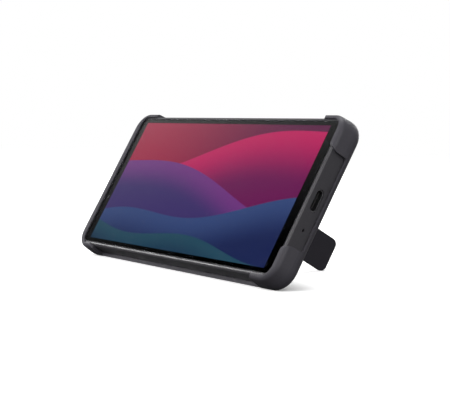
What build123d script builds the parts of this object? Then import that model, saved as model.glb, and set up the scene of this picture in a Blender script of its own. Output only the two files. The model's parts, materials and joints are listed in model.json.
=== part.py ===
"""A handset in a bumper cover, leaning back on the cover's fold-out kickstand.

Every piece is modelled in the handset's own axes: X along the long side towards the charging
end, Y up the short side, Z out of the screen, with the origin at the middle of the glass face.
stand_up() then turns and lifts the pieces onto the surface that the object rests on.
"""
from build123d import *
import os
from math import asin, atan2, cos, degrees, hypot, radians, sin

# ---------------------------------------------------------------- driving dimensions, in mm
PHONE_L, PHONE_W, PHONE_T = 153.0, 67.0, 8.3
PHONE_R = 6.0                       # plan corner radius
END_ROUND, SIDE_ROUND = 0.9, 1.45   # rounding of the front edge at the ends and along the sides
BACK_ROUND = 0.7
WALL = 2.0                          # side wall of the frame

SCREEN_L, SCREEN_W = 140.1, 60.05   # 21:9 picture, 6.0 inch across
SCREEN_X, SCREEN_Y = -0.65, 0.15    # its middle: the border is wider at the charging end
GLASS_L, GLASS_W, GLASS_T, GLASS_R = 151.1, 64.1, 0.7, 3.5
GLASS_FIT = 0.05                    # gap round the glass

COVER_X0, COVER_X1 = -80.0, 78.2    # the closed end has the thicker wall
COVER_W, COVER_R = 70.7, 8.5
COVER_BACK = -10.6                  # outer face of the cover's floor
COVER_RIM = 0.7                     # top of the bumpers at the ends
COVER_EDGE, CROWN = 3.8, 2.2        # rounding of the back edge and of the bumpers' tops
DRAFT, DRAFT_FOOT = 0.7, -5.5       # the walls lean in by this much, from here up to the rim
COVER_FIT = 0.08                    # gap round the handset
LIP_L, LIP_W, LIP_R = 150.3, 65.6, 4.5   # front opening inside the lips
LIP_EDGE = 0.3
END_LEDGE, SIDE_LEDGE = -7.5, -7.8  # top of the ledge at the charging end and along the sides
SEAM = 0.3                          # groove between the handset and the ledges
END_RIM, END_FOOT = (-19.6, 20.0), (-19.3, 19.8)   # the charging end's cut-out along Y
LOWER_GAP = (-65.4, 63.0)           # the lower side's cut-out along X
UPPER_RIM, UPPER_FOOT = (-64.6, 62.7), (-64.0, 62.7)   # the upper one, slanted at one end

STAND_W, STAND_T = 14.9, 1.5        # kickstand plate
STAND_CORNER = 2.65
HINGE_X, HINGE_Z = 21.5, -9.6       # hinge axis, parallel to Y
STAND_REACH = 50.6                  # hinge axis to the free edge
BARREL_R, PIN_R = 0.95, 0.45
RUN_FIT = 0.05                      # radial gap of the barrel on its pin

# levels through the thickness, from the front to the back
MASK_TOP, MASK_FOOT = -0.72, -0.77
PANEL_TOP, PANEL_FOOT = -0.79, -2.05
LEDGE_TOP, LEDGE_FOOT = -0.9, -2.3
CHASSIS_FOOT = -3.1
BOARD_TOP, BOARD_FOOT = -3.5, -4.2
CELL_FOOT = -7.15
BACK_SEAT, PANEL_IN = -7.35, -7.5
PHONE_BACK = -PHONE_T

HALL_L, HALL_W, HALL_R = PHONE_L - 2 * WALL, PHONE_W - 2 * WALL, 4.4   # inside of the frame
END_X, SIDE_Y = PHONE_L / 2, PHONE_W / 2

PORT_Y, PORT_Z = 0.5, -4.4          # charging socket
PORT_L, PORT_H = 9.2, 3.5
MIC_Y, MIC_Z, MIC_L, MIC_H = -11.7, -4.3, 1.3, 0.9   # the slot over the lower microphone
TOP_MIC_Y, TOP_MIC_R = 12.0, 0.4
JACK_Y, JACK_Z, JACK_R = -20.5, -5.2, 1.75
EYE_X, EYE_Y, EYE_R = -72.7, -9.0, 1.0   # front camera and its barrel
EAR_HALF = 7.0                      # half-length of the earpiece slit

KEY_Z, KEY_H, KEY_PROUD = -4.3, 3.0, 0.5
POWER_X, POWER_L = -6.0, 12.0
VOLUME_X, VOLUME_L, ROCKER_IN = -36.0, 22.0, 1.3   # the rocker turns this far inside the frame
TRAY_X, TRAY_L, TRAY_H, TRAY_DEEP = -48.0, 16.4, 2.8, 27.0

CAMERA_X, CAMERA_Y = -52.5, 22.0    # middle of the rear camera island
ISLAND_L, ISLAND_W = 33.0, 10.8
LENSES = {"camera_wide": (-63.3, 2.9), "camera_main": (-54.3, 3.4), "camera_far": (-45.3, 2.6)}
FLASH_X = -39.8
SPEAKER_X, SPEAKER_Y = 66.0, 20.0
SPEAKER_SLOTS, SPEAKER_PITCH = 5, 2.6

SCREW_HEAD_R, SCREW_HEAD_H, SCREW_R, SCREW_L = 1.3, 0.4, 0.6, 1.7
CHASSIS_SCREWS = [(-73.0, y) for y in (-27.0, -13.5, 13.5, 27.0)]
CHASSIS_SCREWS += [(73.0, y) for y in (-27.0, -18.0, 18.0, 27.0)]
BOARD_SCREWS = [(-65.5, -28.2), (-33.5, -28.2), (-65.5, 14.7), (-32.9, 28.0)]
BOARD_SCREWS += [(59.5, -27.0), (59.5, 6.2), (71.8, -22.6)]


# ---------------------------------------------------------------- small makers
def block(x0, x1, y0, y1, z0, z1):
    """A box between two corners."""
    middle = Pos((x0 + x1) / 2, (y0 + y1) / 2, (z0 + z1) / 2)
    return middle * Box(abs(x1 - x0), abs(y1 - y0), abs(z1 - z0))


def sheet(length, width, radius, low, high, x=0.0, y=0.0):
    """A flat plate with round plan corners, between two levels."""
    return extrude(Pos(x, y, low) * RectangleRounded(length, width, radius), amount=high - low)


def pill(length, width, low, high, x=0.0, y=0.0):
    """A flat plate with fully round ends, along X."""
    return extrude(Pos(x, y, low) * SlotOverall(length, width), amount=high - low)


def rod(radius, low, high, x=0.0, y=0.0):
    """A round bar along Z between two levels."""
    return extrude(Pos(x, y, low) * Circle(radius), amount=high - low)


def across_end(outline, x0, x1):
    """A (Y, Z) outline extruded along X from x0 to x1."""
    return extrude(Plane.YZ.offset(x0) * outline, amount=x1 - x0)


def across_side(outline, y0, y1):
    """An (X, Z) outline extruded along Y from y0 to y1."""
    return extrude(Plane.XZ.offset(-y1) * outline, amount=y1 - y0)


def at_level(shape, level):
    """The edges of a shape that lie wholly at one height."""
    return [e for e in shape.edges() if abs(e.bounding_box().min.Z - level) < 1e-3
            and abs(e.bounding_box().max.Z - level) < 1e-3]


def handset_form(grow, top):
    """The handset's outer form, grown by a gap on every side, with its rounded front edges."""
    form = sheet(PHONE_L + 2 * grow, PHONE_W + 2 * grow, PHONE_R + grow, PHONE_BACK, top)
    form = fillet(at_level(form, top), END_ROUND + grow)
    depth = 4 * PHONE_T
    round_sides = RectangleRounded(PHONE_W + 2 * grow, depth, SIDE_ROUND + grow)
    return form & across_end(Pos(0, top - depth / 2) * round_sides, -PHONE_L, PHONE_L)


def ribbon(points, radius, thickness, y0, y1):
    """A flat flex: a bent line in X and Z, given a thickness, across the width y0 to y1."""
    line = FilletPolyline(*points, radius=radius)
    return across_side(trace(line, thickness), y0, y1)


# ---------------------------------------------------------------- the handset's shell
def side_frame():
    """The ring that carries everything: seats for the glass and back, and every side opening."""
    frame = handset_form(0.0, 0.0)
    frame = fillet(at_level(frame, PHONE_BACK), BACK_ROUND)
    frame -= sheet(GLASS_L + 2 * GLASS_FIT, GLASS_W + 2 * GLASS_FIT, GLASS_R + GLASS_FIT,
                   LEDGE_TOP, 1.0)
    frame -= sheet(142.7, 62.0, 1.5, LEDGE_FOOT - 1, 1.0)
    frame -= sheet(HALL_L, HALL_W, HALL_R, -20, LEDGE_FOOT)
    frame -= sheet(PHONE_L - 1.8, PHONE_W - 1.8, PHONE_R - 0.9, -20, BACK_SEAT)

    port = Pos(PORT_Y, PORT_Z) * SlotOverall(PORT_L, PORT_H)
    frame -= across_end(port, END_X - 2 * WALL, END_X + 1)
    frame -= across_end(Pos(MIC_Y, MIC_Z) * SlotOverall(MIC_L, MIC_H), END_X - 2 * WALL, END_X + 1)
    frame -= across_end(Pos(TOP_MIC_Y, MIC_Z) * Circle(TOP_MIC_R), -END_X - 1, 2 * WALL - END_X)
    frame -= across_end(Pos(JACK_Y, JACK_Z) * Circle(JACK_R), -END_X - 1, 2 * WALL - END_X)

    for x, length in ((POWER_X, POWER_L), (VOLUME_X, VOLUME_L)):
        slot = Pos(x, KEY_Z) * SlotOverall(length + 0.2, KEY_H + 0.2)
        pocket = Pos(x, KEY_Z) * SlotOverall(length + 2.0, KEY_H + 1.2)
        frame -= across_side(slot, SIDE_Y - 2 * WALL, SIDE_Y + 1)
        frame -= across_side(pocket, SIDE_Y - 2 * WALL, SIDE_Y - WALL / 2)
    mouth = Pos(TRAY_X, KEY_Z) * SlotOverall(TRAY_L + 0.1, TRAY_H + 0.1)
    frame -= across_side(mouth, -SIDE_Y - 1, 2 * WALL - SIDE_Y)

    frame -= rod(EYE_R + 0.1, LEDGE_FOOT - 1, 1.0, EYE_X, EYE_Y)
    slit = GLASS_L / 2 + 0.45
    frame -= block(-slit, -GLASS_L / 2, -EAR_HALF, EAR_HALF, -1.3, 1.0)
    frame -= block(-slit, -74.2, -EAR_HALF, EAR_HALF, -1.3, LEDGE_TOP)
    frame -= block(-75.0, -74.2, -5.0, 5.0, -2.4, -1.2)
    for x, y in CHASSIS_SCREWS:
        frame -= rod(SCREW_R + 0.02, CHASSIS_FOOT, CHASSIS_FOOT + SCREW_L + 0.1, x, y)
    return frame


def cover_glass():
    """The clear glass over the whole front, with a softened front edge."""
    glass = sheet(GLASS_L, GLASS_W, GLASS_R, -GLASS_T, 0.0)
    return fillet(at_level(glass, 0.0), 0.15)


def glass_border():
    """The black print behind the glass, open over the picture and the front camera."""
    print_ring = sheet(GLASS_L - 0.2, GLASS_W - 0.2, GLASS_R, MASK_FOOT, MASK_TOP)
    print_ring -= Pos(SCREEN_X, SCREEN_Y) * Box(SCREEN_L, SCREEN_W, 2)
    return print_ring - rod(EYE_R - 0.1, -1, 0, EYE_X, EYE_Y)


def display_panel():
    """The display module behind the glass."""
    return sheet(142.3, 61.6, 1.2, PANEL_FOOT, PANEL_TOP)


def glass_gasket():
    """The glue line between the glass and the frame's ledge."""
    ring = sheet(GLASS_L - 0.2, GLASS_W - 0.2, GLASS_R, LEDGE_TOP, -0.78)
    ring -= sheet(142.9, 62.2, 1.6, -2, 0)
    return ring - rod(1.5, -2, 0, EYE_X, EYE_Y)


def display_foam():
    """The soft sheet between the display and the chassis."""
    return sheet(126.0, 58.0, 1.0, LEDGE_FOOT, PANEL_FOOT, x=5.0)


def display_flex():
    """The display's ribbon: out of the panel, through the chassis and back to the main board."""
    top, foot = PANEL_FOOT - 0.09, BOARD_TOP + 0.12
    path = [(-60.0, top), (-66.3, top), (-66.3, foot), (-60.0, foot)]
    return ribbon(path, 0.5, 0.12, -2.0, 12.0)


def back_panel():
    """The rear cover plate, with the camera opening and the speaker slots."""
    panel = sheet(PHONE_L - 1.9, PHONE_W - 1.9, PHONE_R - 0.95, PHONE_BACK, PANEL_IN)
    panel -= pill(ISLAND_L - 2.0, ISLAND_W - 2.0, -10, -7, CAMERA_X, CAMERA_Y)
    return panel - speaker_slots(0.5, -10, -7)


def back_gasket():
    """The glue line between the frame's rear seat and the back panel."""
    ring = sheet(PHONE_L - 2.0, PHONE_W - 2.0, PHONE_R - 1.0, PANEL_IN, BACK_SEAT)
    return ring - sheet(HALL_L + 0.2, HALL_W + 0.2, HALL_R, -9, -7)


def speaker_slots(half_width, low, high):
    """The row of sound slots behind the loudspeaker, each along X."""
    slots = Part()
    for i in range(SPEAKER_SLOTS):
        y = SPEAKER_Y + (i - (SPEAKER_SLOTS - 1) / 2) * SPEAKER_PITCH
        slots += pill(7.0, 2 * half_width, low, high, SPEAKER_X, y)
    return slots


# ---------------------------------------------------------------- inside the handset
def chassis_plate():
    """The stamped plate across the middle, with bosses for the boards and a key bracket."""
    plate = sheet(HALL_L - 0.1, HALL_W - 0.1, HALL_R - 0.05, CHASSIS_FOOT, LEDGE_FOOT)
    plate += block(-50.0, 3.0, 30.7, 31.1, -5.7, CHASSIS_FOOT)
    for x, y in BOARD_SCREWS:
        plate += rod(1.6, BOARD_TOP, CHASSIS_FOOT, x, y)
    for x, y in BOARD_SCREWS:
        plate -= rod(SCREW_R + 0.02, -4, -1, x, y)
    for x, y in CHASSIS_SCREWS:
        plate -= rod(SCREW_R + 0.15, -4, -1, x, y)
    plate -= block(66.0, 80.0, PORT_Y - 5.2, PORT_Y + 5.2, -4, -1)
    plate -= block(-80.0, -69.5, EYE_Y - 2.6, EYE_Y + 2.6, -4, -1)
    plate -= block(-80.0, -74.0, -5.0, 5.0, -4, -1)
    return plate - block(-67.6, -65.2, -3.0, 13.0, -4, -1)


def screws():
    """Fifteen identical pan-head screws, for the chassis and the two boards."""
    one = rod(SCREW_HEAD_R, -SCREW_HEAD_H, 0.0) + rod(SCREW_R, 0.0, SCREW_L)
    one -= extrude(Pos(0, 0, -SCREW_HEAD_H) * RegularPolygon(0.55, 6), amount=0.25)
    places = [(x, y, CHASSIS_FOOT) for x, y in CHASSIS_SCREWS]
    places += [(x, y, BOARD_FOOT) for x, y in BOARD_SCREWS]
    return Compound([Pos(*place) * one.solid() for place in places])


def battery():
    """The flat pouch cell."""
    cell = sheet(82.5, 58.0, 2.0, CELL_FOOT, CHASSIS_FOOT - 0.2, x=13.25)
    return fillet(at_level(cell, CELL_FOOT), 0.8)


def battery_adhesive():
    """Two pull strips that hold the cell to the chassis."""
    return Compound([sheet(74.0, 9.0, 1.0, CHASSIS_FOOT - 0.2, CHASSIS_FOOT, 13.25, y).solid()
                     for y in (-16.0, 16.0)])


def main_board():
    """The main circuit board, cut away round the cameras and the audio socket."""
    board = block(-67.8, -31.0, -30.4, 30.4, BOARD_FOOT, BOARD_TOP)
    board += block(-74.2, -67.0, 9.7, 14.7, BOARD_FOOT, BOARD_TOP)
    board -= block(-80.0, -34.2, 16.6, 40.0, -5, -3)
    board -= block(-80.0, -61.2, JACK_Y - 3.8, JACK_Y + 3.8, -5, -3)
    board += block(-37.6, -33.4, -16.5, -7.5, BOARD_FOOT - 0.9, BOARD_FOOT)
    board += block(-33.4, -31.4, 2.0, 14.0, BOARD_FOOT - 0.9, BOARD_FOOT)
    for x, y in BOARD_SCREWS:
        board -= rod(SCREW_R + 0.1, -5, -3, x, y)
    return board


def shield(x0, x1, y0, y1, foot):
    """A folded metal can over part of the main board."""
    can = block(x0, x1, y0, y1, foot, BOARD_FOOT)
    can = fillet(can.edges().filter_by(Axis.Z), 0.6)
    return can - block(x0 + 0.2, x1 - 0.2, y0 + 0.2, y1 - 0.2, foot + 0.2, BOARD_FOOT + 1)


def usb_board():
    """The small board at the charging end."""
    board = block(57.5, 73.8, -28.8, 8.5, BOARD_FOOT, BOARD_TOP)
    board -= block(66.5, 80.0, PORT_Y - 4.8, PORT_Y + 4.8, -5, -3)
    board += block(58.0, 62.2, -16.5, -7.5, BOARD_FOOT - 0.9, BOARD_FOOT)
    for x, y in BOARD_SCREWS:
        board -= rod(SCREW_R + 0.1, -5, -3, x, y)
    return board


def port_shell():
    """The charging socket's metal tube, closed at its inner end."""
    tube = across_end(Pos(PORT_Y, PORT_Z) * SlotOverall(8.94, 3.24), 68.0, END_X - 0.6)
    return tube - across_end(Pos(PORT_Y, PORT_Z) * SlotOverall(8.34, 2.64), 68.6, END_X)


def port_tongue():
    """The contact tongue inside the charging socket."""
    return block(68.6, END_X - 1.3, PORT_Y - 3.3, PORT_Y + 3.3, PORT_Z - 0.35, PORT_Z + 0.35)


def microphones():
    """The two microphones behind their holes, one on each board."""
    low = block(70.9, 74.2, MIC_Y - 1.3, MIC_Y + 1.3, BOARD_FOOT - 1.0, BOARD_FOOT)
    top = block(-74.2, -70.9, TOP_MIC_Y - 1.3, TOP_MIC_Y + 1.3, BOARD_FOOT - 1.0, BOARD_FOOT)
    return Compound([low.solid(), top.solid()])


def loudspeaker():
    """The loudspeaker box, with its mouth raised towards the back panel."""
    box = block(57.5, 73.6, 10.2, 29.8, -6.9, BOARD_TOP - 0.02)
    box = fillet(box.edges().filter_by(Axis.Z), 1.2)
    return box + sheet(9.4, 14.0, 1.0, -7.3, -6.9, SPEAKER_X, SPEAKER_Y)


def speaker_mesh():
    """The dust mesh between the loudspeaker and the back panel's slots."""
    return sheet(9.0, 13.6, 1.0, PANEL_IN, -7.3, SPEAKER_X, SPEAKER_Y)


def vibration_motor():
    """The coin motor on the charging board."""
    coin = rod(4.2, -6.9, BOARD_FOOT, 65.0, -24.6)
    return fillet(at_level(coin, -6.9), 0.4)


def joining_flex():
    """The ribbon over the cell that joins the two boards."""
    low, high = BOARD_FOOT - 0.975, CELL_FOOT - 0.125
    path = [(-37.6, low), (-32.2, low), (-29.4, high), (55.6, high), (57.8, low), (62.2, low)]
    return ribbon(path, 0.4, 0.15, -16.0, -8.0)


def nfc_coil():
    """The flat antenna coil inside the back panel."""
    coil = sheet(38.0, 28.0, 3.0, PANEL_IN, -7.3, 6.0, 11.0)
    return coil - sheet(28.0, 18.0, 2.0, -8, -7, 6.0, 11.0)


def audio_socket():
    """The headphone socket behind the frame's round hole."""
    body = block(-HALL_L / 2, -61.5, JACK_Y - 3.5, JACK_Y + 3.5, -7.3, CHASSIS_FOOT)
    return body - across_end(Pos(JACK_Y, JACK_Z) * Circle(JACK_R), -80, 14 - END_X)


def earpiece():
    """The earpiece behind the chassis, under the sound passage."""
    box = block(-74.3, -68.6, -5.6, 5.6, -5.4, CHASSIS_FOOT)
    return fillet(box.edges().filter_by(Axis.Z), 0.8)


def earpiece_mesh():
    """The dust mesh in the slit beside the glass."""
    outer = GLASS_L / 2 + 0.42
    return block(-outer, -GLASS_L / 2 - 0.06, -EAR_HALF + 0.05, EAR_HALF - 0.05, -0.6, -0.35)


def front_camera():
    """The front camera: its square body and the barrel that reaches up to the glass."""
    body = block(-74.3, -69.8, EYE_Y - 2.25, EYE_Y + 2.25, -5.0, LEDGE_FOOT - 0.02)
    return body + rod(EYE_R, LEDGE_FOOT - 0.02, -0.82, EYE_X, EYE_Y)


def rear_camera(x, radius):
    """One rear camera: a square body and its lens barrel."""
    body = block(x - 4.1, x + 4.1, CAMERA_Y - 4.1, CAMERA_Y + 4.1, -7.2, CHASSIS_FOOT)
    barrel = rod(radius, -8.9, -7.2, x, CAMERA_Y)
    return body + barrel - rod(0.62 * radius, -10, -8.5, x, CAMERA_Y)


def camera_surround():
    """The metal rim of the camera island, with its sleeve through the back panel."""
    rim = pill(ISLAND_L, ISLAND_W, -9.6, PHONE_BACK, CAMERA_X, CAMERA_Y)
    rim = fillet(at_level(rim, -9.6), 0.5)
    rim += pill(ISLAND_L - 2.2, ISLAND_W - 2.2, PHONE_BACK, -7.6, CAMERA_X, CAMERA_Y)
    rim -= pill(ISLAND_L - 3.6, ISLAND_W - 3.6, -10, -7, CAMERA_X, CAMERA_Y)
    return rim - pill(ISLAND_L - 1.7, ISLAND_W - 1.7, -10, -9.0, CAMERA_X, CAMERA_Y)


def camera_glass():
    """The single glass over the cameras and the flash."""
    return pill(ISLAND_L - 1.8, ISLAND_W - 1.8, -9.5, -9.0, CAMERA_X, CAMERA_Y)


def flash_lamp():
    """The flash lamp on its small foot inside the back panel."""
    foot = block(FLASH_X - 1.3, FLASH_X + 1.3, CAMERA_Y - 5.0, CAMERA_Y + 5.0, PANEL_IN, -7.0)
    return foot + rod(1.3, -8.9, PANEL_IN, FLASH_X, CAMERA_Y)


# ---------------------------------------------------------------- keys and tray
def side_key(x, length, flange_t):
    """A side key: the bar that is pressed and the flange that keeps it in the frame."""
    flange_in = SIDE_Y - 1.6
    face = SIDE_Y + KEY_PROUD
    bar = across_side(Pos(x, KEY_Z) * SlotOverall(length, KEY_H), flange_in, face)
    rim = [e for e in bar.edges() if e.bounding_box().min.Y > face - 1e-3]
    bar = fillet(rim, 0.35)
    flange = Pos(x, KEY_Z) * SlotOverall(length + 1.6, KEY_H + 0.8)
    return bar + across_side(flange, flange_in, flange_in + flange_t)


def volume_rocker():
    """The volume key, with the round rib across its inner face that it rocks on."""
    half = KEY_H / 2 - 0.2
    rib = rod(0.6, KEY_Z - half, KEY_Z + half, VOLUME_X, SIDE_Y - ROCKER_IN)
    return side_key(VOLUME_X, VOLUME_L, 0.3) + rib


def key_flex():
    """The key ribbon on the chassis bracket, with its three dome switches."""
    strip = block(-50.0, 3.0, 31.1, 31.3, -5.6, -3.2)
    for x in (POWER_X, VOLUME_X - 7.5, VOLUME_X + 7.5):
        strip += across_side(Pos(x, KEY_Z) * Circle(1.15), 31.3, 31.5)
    return strip


def sim_tray():
    """The card tray: a front bar flush with the frame and a carrier with two card pockets."""
    bar = across_side(Pos(TRAY_X, KEY_Z) * SlotOverall(TRAY_L, TRAY_H), -SIDE_Y, 1.3 - SIDE_Y)
    bar -= across_side(Pos(TRAY_X + 5.6, KEY_Z) * Circle(0.45), -SIDE_Y - 1, 0.9 - SIDE_Y)
    inner = TRAY_DEEP - SIDE_Y
    carrier = block(TRAY_X - 6.8, TRAY_X + 6.8, 1.3 - SIDE_Y, inner, -5.4, -4.6)
    for y0, depth in ((inner - 1.0, 9.0), (inner - 12.0, 11.2)):
        seat = block(TRAY_X - 6.1, TRAY_X + 6.1, y0 - depth, y0, -5.0, -4)
        window = block(TRAY_X - 5.2, TRAY_X + 5.2, y0 - depth + 0.9, y0 - 0.9, -6, -4)
        carrier = carrier - seat - window
    return bar + carrier


def tray_seal():
    """The soft ring behind the tray's front bar."""
    y0, y1 = 1.3 - SIDE_Y, 1.9 - SIDE_Y
    ring = across_side(Pos(TRAY_X, KEY_Z) * SlotOverall(TRAY_L, TRAY_H), y0, y1)
    return ring - block(TRAY_X - 6.8, TRAY_X + 6.8, y0 - 1, y1 + 1, -5.4, -4.6)


def sim_socket():
    """The folded metal cage on the main board that takes the tray."""
    cage = block(TRAY_X - 7.6, TRAY_X + 7.6, -30.6, -5.0, -6.0, BOARD_FOOT)
    return cage - block(TRAY_X - 7.3, TRAY_X + 7.3, -31.6, -5.3, -5.8, BOARD_FOOT - 0.2)


# ---------------------------------------------------------------- the cover
def gap_outline(foot, rim, floor, root_r, rim_r):
    """The outline of a cut-out in a wall, round at its roots and where it meets the rim.

    foot and rim hold where its two ends stand, at the floor and at the rim, and rim_r holds
    the rounding at each end of the rim.
    """
    wide, high = 2 * max(rim_r), COVER_RIM + 4.0
    points = [(rim[0] - wide, high), (rim[0] - wide, COVER_RIM), (rim[0], COVER_RIM),
              (foot[0], floor), (foot[1], floor),
              (rim[1], COVER_RIM), (rim[1] + wide, COVER_RIM), (rim[1] + wide, high)]
    outline = make_face(Polyline(*points, close=True))

    def corner(place):
        return outline.vertices().sort_by_distance(Vector(place[0], place[1], 0))[0]

    outline = fillet(corner(points[2]), rim_r[0])
    outline = fillet(corner(points[5]), rim_r[1])
    return fillet([corner(points[3]), corner(points[4])], root_r)


def cover_form():
    """The cover's outer form: upright below, leaning in a little above, with round edges."""
    length, middle = COVER_X1 - COVER_X0, (COVER_X0 + COVER_X1) / 2
    form = sheet(length, COVER_W, COVER_R, COVER_BACK, DRAFT_FOOT, x=middle)
    form = fillet(at_level(form, COVER_BACK), COVER_EDGE)
    foot = Pos(middle, 0, DRAFT_FOOT) * RectangleRounded(length, COVER_W, COVER_R)
    rise = COVER_RIM - DRAFT_FOOT
    form += extrude(foot, amount=rise, taper=degrees(atan2(DRAFT, rise)))
    return fillet(at_level(form, COVER_RIM), CROWN)


def seam_groove():
    """The narrow groove beside the handset along the three ledges."""
    grow = COVER_FIT + SEAM
    ring = sheet(PHONE_L + 2 * grow, PHONE_W + 2 * grow, PHONE_R + grow, PHONE_BACK, COVER_RIM)
    ring -= sheet(PHONE_L, PHONE_W, PHONE_R, PHONE_BACK - 1, COVER_RIM + 1)
    runs = block(LOWER_GAP[0] + SEAM, LOWER_GAP[1] - SEAM, -COVER_W, 0, -20, 5)
    runs += block(UPPER_FOOT[0] + SEAM, UPPER_FOOT[1] - SEAM, 0, COVER_W, -20, 5)
    runs += block(0, 2 * END_X, END_FOOT[0] + SEAM, END_FOOT[1] - SEAM, -20, 5)
    return ring & runs


def cover_shell():
    """The one-piece cover: floor, corner bumpers with lips, ledges, cut-outs and openings."""
    shell = cover_form() - handset_form(COVER_FIT, COVER_FIT)
    shell -= sheet(LIP_L, LIP_W, LIP_R, -1.5, 3.0)
    boxes = [(e, e.bounding_box()) for e in shell.edges()]
    lip = [e for e, box in boxes if box.min.Z > COVER_FIT + 0.05
           and max(box.max.X, -box.min.X) < LIP_L / 2 + 0.01
           and max(box.max.Y, -box.min.Y) < LIP_W / 2 + 0.01]
    shell = fillet(lip, LIP_EDGE)

    lower = gap_outline(LOWER_GAP, LOWER_GAP, SIDE_LEDGE, 1.2, (2.2, 2.2))
    upper = gap_outline(UPPER_FOOT, UPPER_RIM, SIDE_LEDGE, 1.2, (1.0, 3.0))
    end = gap_outline(END_FOOT, END_RIM, END_LEDGE, 1.0, (3.0, 3.6))
    shell -= across_side(lower, -COVER_W, -LIP_W / 2 + 1.0)
    shell -= across_side(upper, LIP_W / 2 - 1.0, COVER_W)
    shell -= across_end(end, LIP_L / 2 - 1.0, COVER_X1 + 1)
    shell -= seam_groove()
    shell -= across_end(Pos(JACK_Y, JACK_Z) * Circle(3.8), COVER_X0 - 1, -END_X + 0.1)
    shell -= across_end(Pos(TOP_MIC_Y, MIC_Z) * Circle(1.2), COVER_X0 - 1, -END_X + 0.1)

    rim = pill(ISLAND_L + 6.4, ISLAND_W + 6.4, COVER_BACK - 0.4, COVER_BACK, CAMERA_X, CAMERA_Y)
    shell += fillet(at_level(rim, COVER_BACK - 0.4), 0.35)
    shell -= pill(ISLAND_L + 2.6, ISLAND_W + 2.6, -20, PHONE_BACK + 0.1, CAMERA_X, CAMERA_Y)
    mouth = at_level(shell, COVER_BACK - 0.4)
    inner = [e for e in mouth if abs(e.center().Y - CAMERA_Y) < (ISLAND_W + 3.0) / 2
             and abs(e.center().X - CAMERA_X) < (ISLAND_L + 3.0) / 2]
    shell = chamfer(inner, 0.7)
    shell -= speaker_slots(0.65, -20, PHONE_BACK + 0.1)
    return shell - stand_recess()


def stand_recess():
    """What is cut from the floor for the kickstand: its bed, hinge window, pin seats and scoop."""
    half = STAND_W / 2 + 0.25
    wall = HINGE_X - BARREL_R - 0.05
    tip = HINGE_X + STAND_REACH + 0.3
    bed_top = HINGE_Z + STAND_T - BARREL_R + 0.1
    bed = block(wall, tip, -half, half, -20, bed_top)
    bed = fillet([e for e in bed.edges().filter_by(Axis.Z) if e.center().X > tip - 0.1],
                 STAND_CORNER)
    window = block(wall, HINGE_X + 1.6, -half, half, -20, PHONE_BACK + 1)
    seat = block(HINGE_X - PIN_R - 0.02, HINGE_X + PIN_R + 0.02, -half - 2, half + 2,
                 HINGE_Z, PHONE_BACK + 1)
    seat += across_side(Pos(HINGE_X, HINGE_Z) * Circle(PIN_R + 0.02), -half - 2, half + 2)
    scoop = rod(6.0, -20, COVER_BACK + 1.3, tip - 8.0, half)
    return bed + window + seat + scoop


def kickstand():
    """The stand folded out square to the back: a flat plate with a barrel for its pin."""
    face = HINGE_X - BARREL_R
    blade = block(face, face + STAND_T, -STAND_W / 2, STAND_W / 2,
                  HINGE_Z - STAND_REACH, HINGE_Z)
    foot = HINGE_Z - STAND_REACH
    corners = [e for e in blade.edges().filter_by(Axis.X) if e.center().Z < foot + 0.1]
    blade = fillet(corners, STAND_CORNER)
    barrel = across_side(Pos(HINGE_X, HINGE_Z) * Circle(BARREL_R), -STAND_W / 2, STAND_W / 2)
    eye = across_side(Pos(HINGE_X, HINGE_Z) * Circle(PIN_R + RUN_FIT), -STAND_W, STAND_W)
    return blade + barrel - eye


def kickstand_pin():
    """The hinge pin, seated in the floor on both sides of the kickstand."""
    half = STAND_W / 2 + 2.2
    return across_side(Pos(HINGE_X, HINGE_Z) * Circle(PIN_R), -half, half)


# ---------------------------------------------------------------- standing up
def lean_angle():
    """How far the screen leans back from upright, in degrees.

    The object rests on the round lower back edge of its cover and on the round lower corner of
    the stand. The surface touches both rounds, so their centres and radii give the angle.
    """
    run = HINGE_Z - STAND_REACH + STAND_CORNER - (COVER_BACK + COVER_EDGE)
    rise = COVER_W / 2 - COVER_EDGE - (STAND_W / 2 - STAND_CORNER)
    step = STAND_CORNER - COVER_EDGE
    return degrees(atan2(rise, -run) - asin(step / hypot(rise, run)))


def make_parts():
    """Every piece in the handset's axes, by node name."""
    parts = {
        "cover_shell": cover_shell(), "kickstand": kickstand(), "kickstand_pin": kickstand_pin(),
        "side_frame": side_frame(), "cover_glass": cover_glass(), "glass_border": glass_border(),
        "glass_gasket": glass_gasket(), "display_panel": display_panel(),
        "display_foam": display_foam(), "display_flex": display_flex(),
        "chassis_plate": chassis_plate(), "screws": screws(), "battery": battery(),
        "battery_adhesive": battery_adhesive(), "main_board": main_board(),
        "processor_shield": shield(-53.0, -38.6, -4.4, 15.4, -5.6),
        "radio_shield": shield(-63.6, -55.0, -3.5, 8.5, -5.4),
        "usb_board": usb_board(), "port_shell": port_shell(), "port_tongue": port_tongue(),
        "microphones": microphones(), "loudspeaker": loudspeaker(),
        "speaker_mesh": speaker_mesh(), "vibration_motor": vibration_motor(),
        "joining_flex": joining_flex(), "nfc_coil": nfc_coil(), "audio_socket": audio_socket(),
        "earpiece": earpiece(), "earpiece_mesh": earpiece_mesh(),
        "front_camera": front_camera(), "camera_surround": camera_surround(),
        "camera_glass": camera_glass(), "flash_lamp": flash_lamp(),
        "power_key": side_key(POWER_X, POWER_L, 0.5),
        "volume_rocker": volume_rocker(), "key_flex": key_flex(),
        "sim_tray": sim_tray(), "tray_seal": tray_seal(), "sim_socket": sim_socket(),
        "back_panel": back_panel(), "back_gasket": back_gasket(),
    }
    for name, (x, radius) in LENSES.items():
        parts[name] = rear_camera(x, radius)
    return parts


def stand_up(parts):
    """Turns the pieces from the handset's axes to where they stand, and returns the placement."""
    turn = Rotation(90 - lean_angle(), 0, 0)
    box = Compound([turn * part for part in parts.values()]).bounding_box()
    middle = box.center()
    return Pos(-middle.X, -middle.Y, -box.min.Z) * turn


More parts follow.
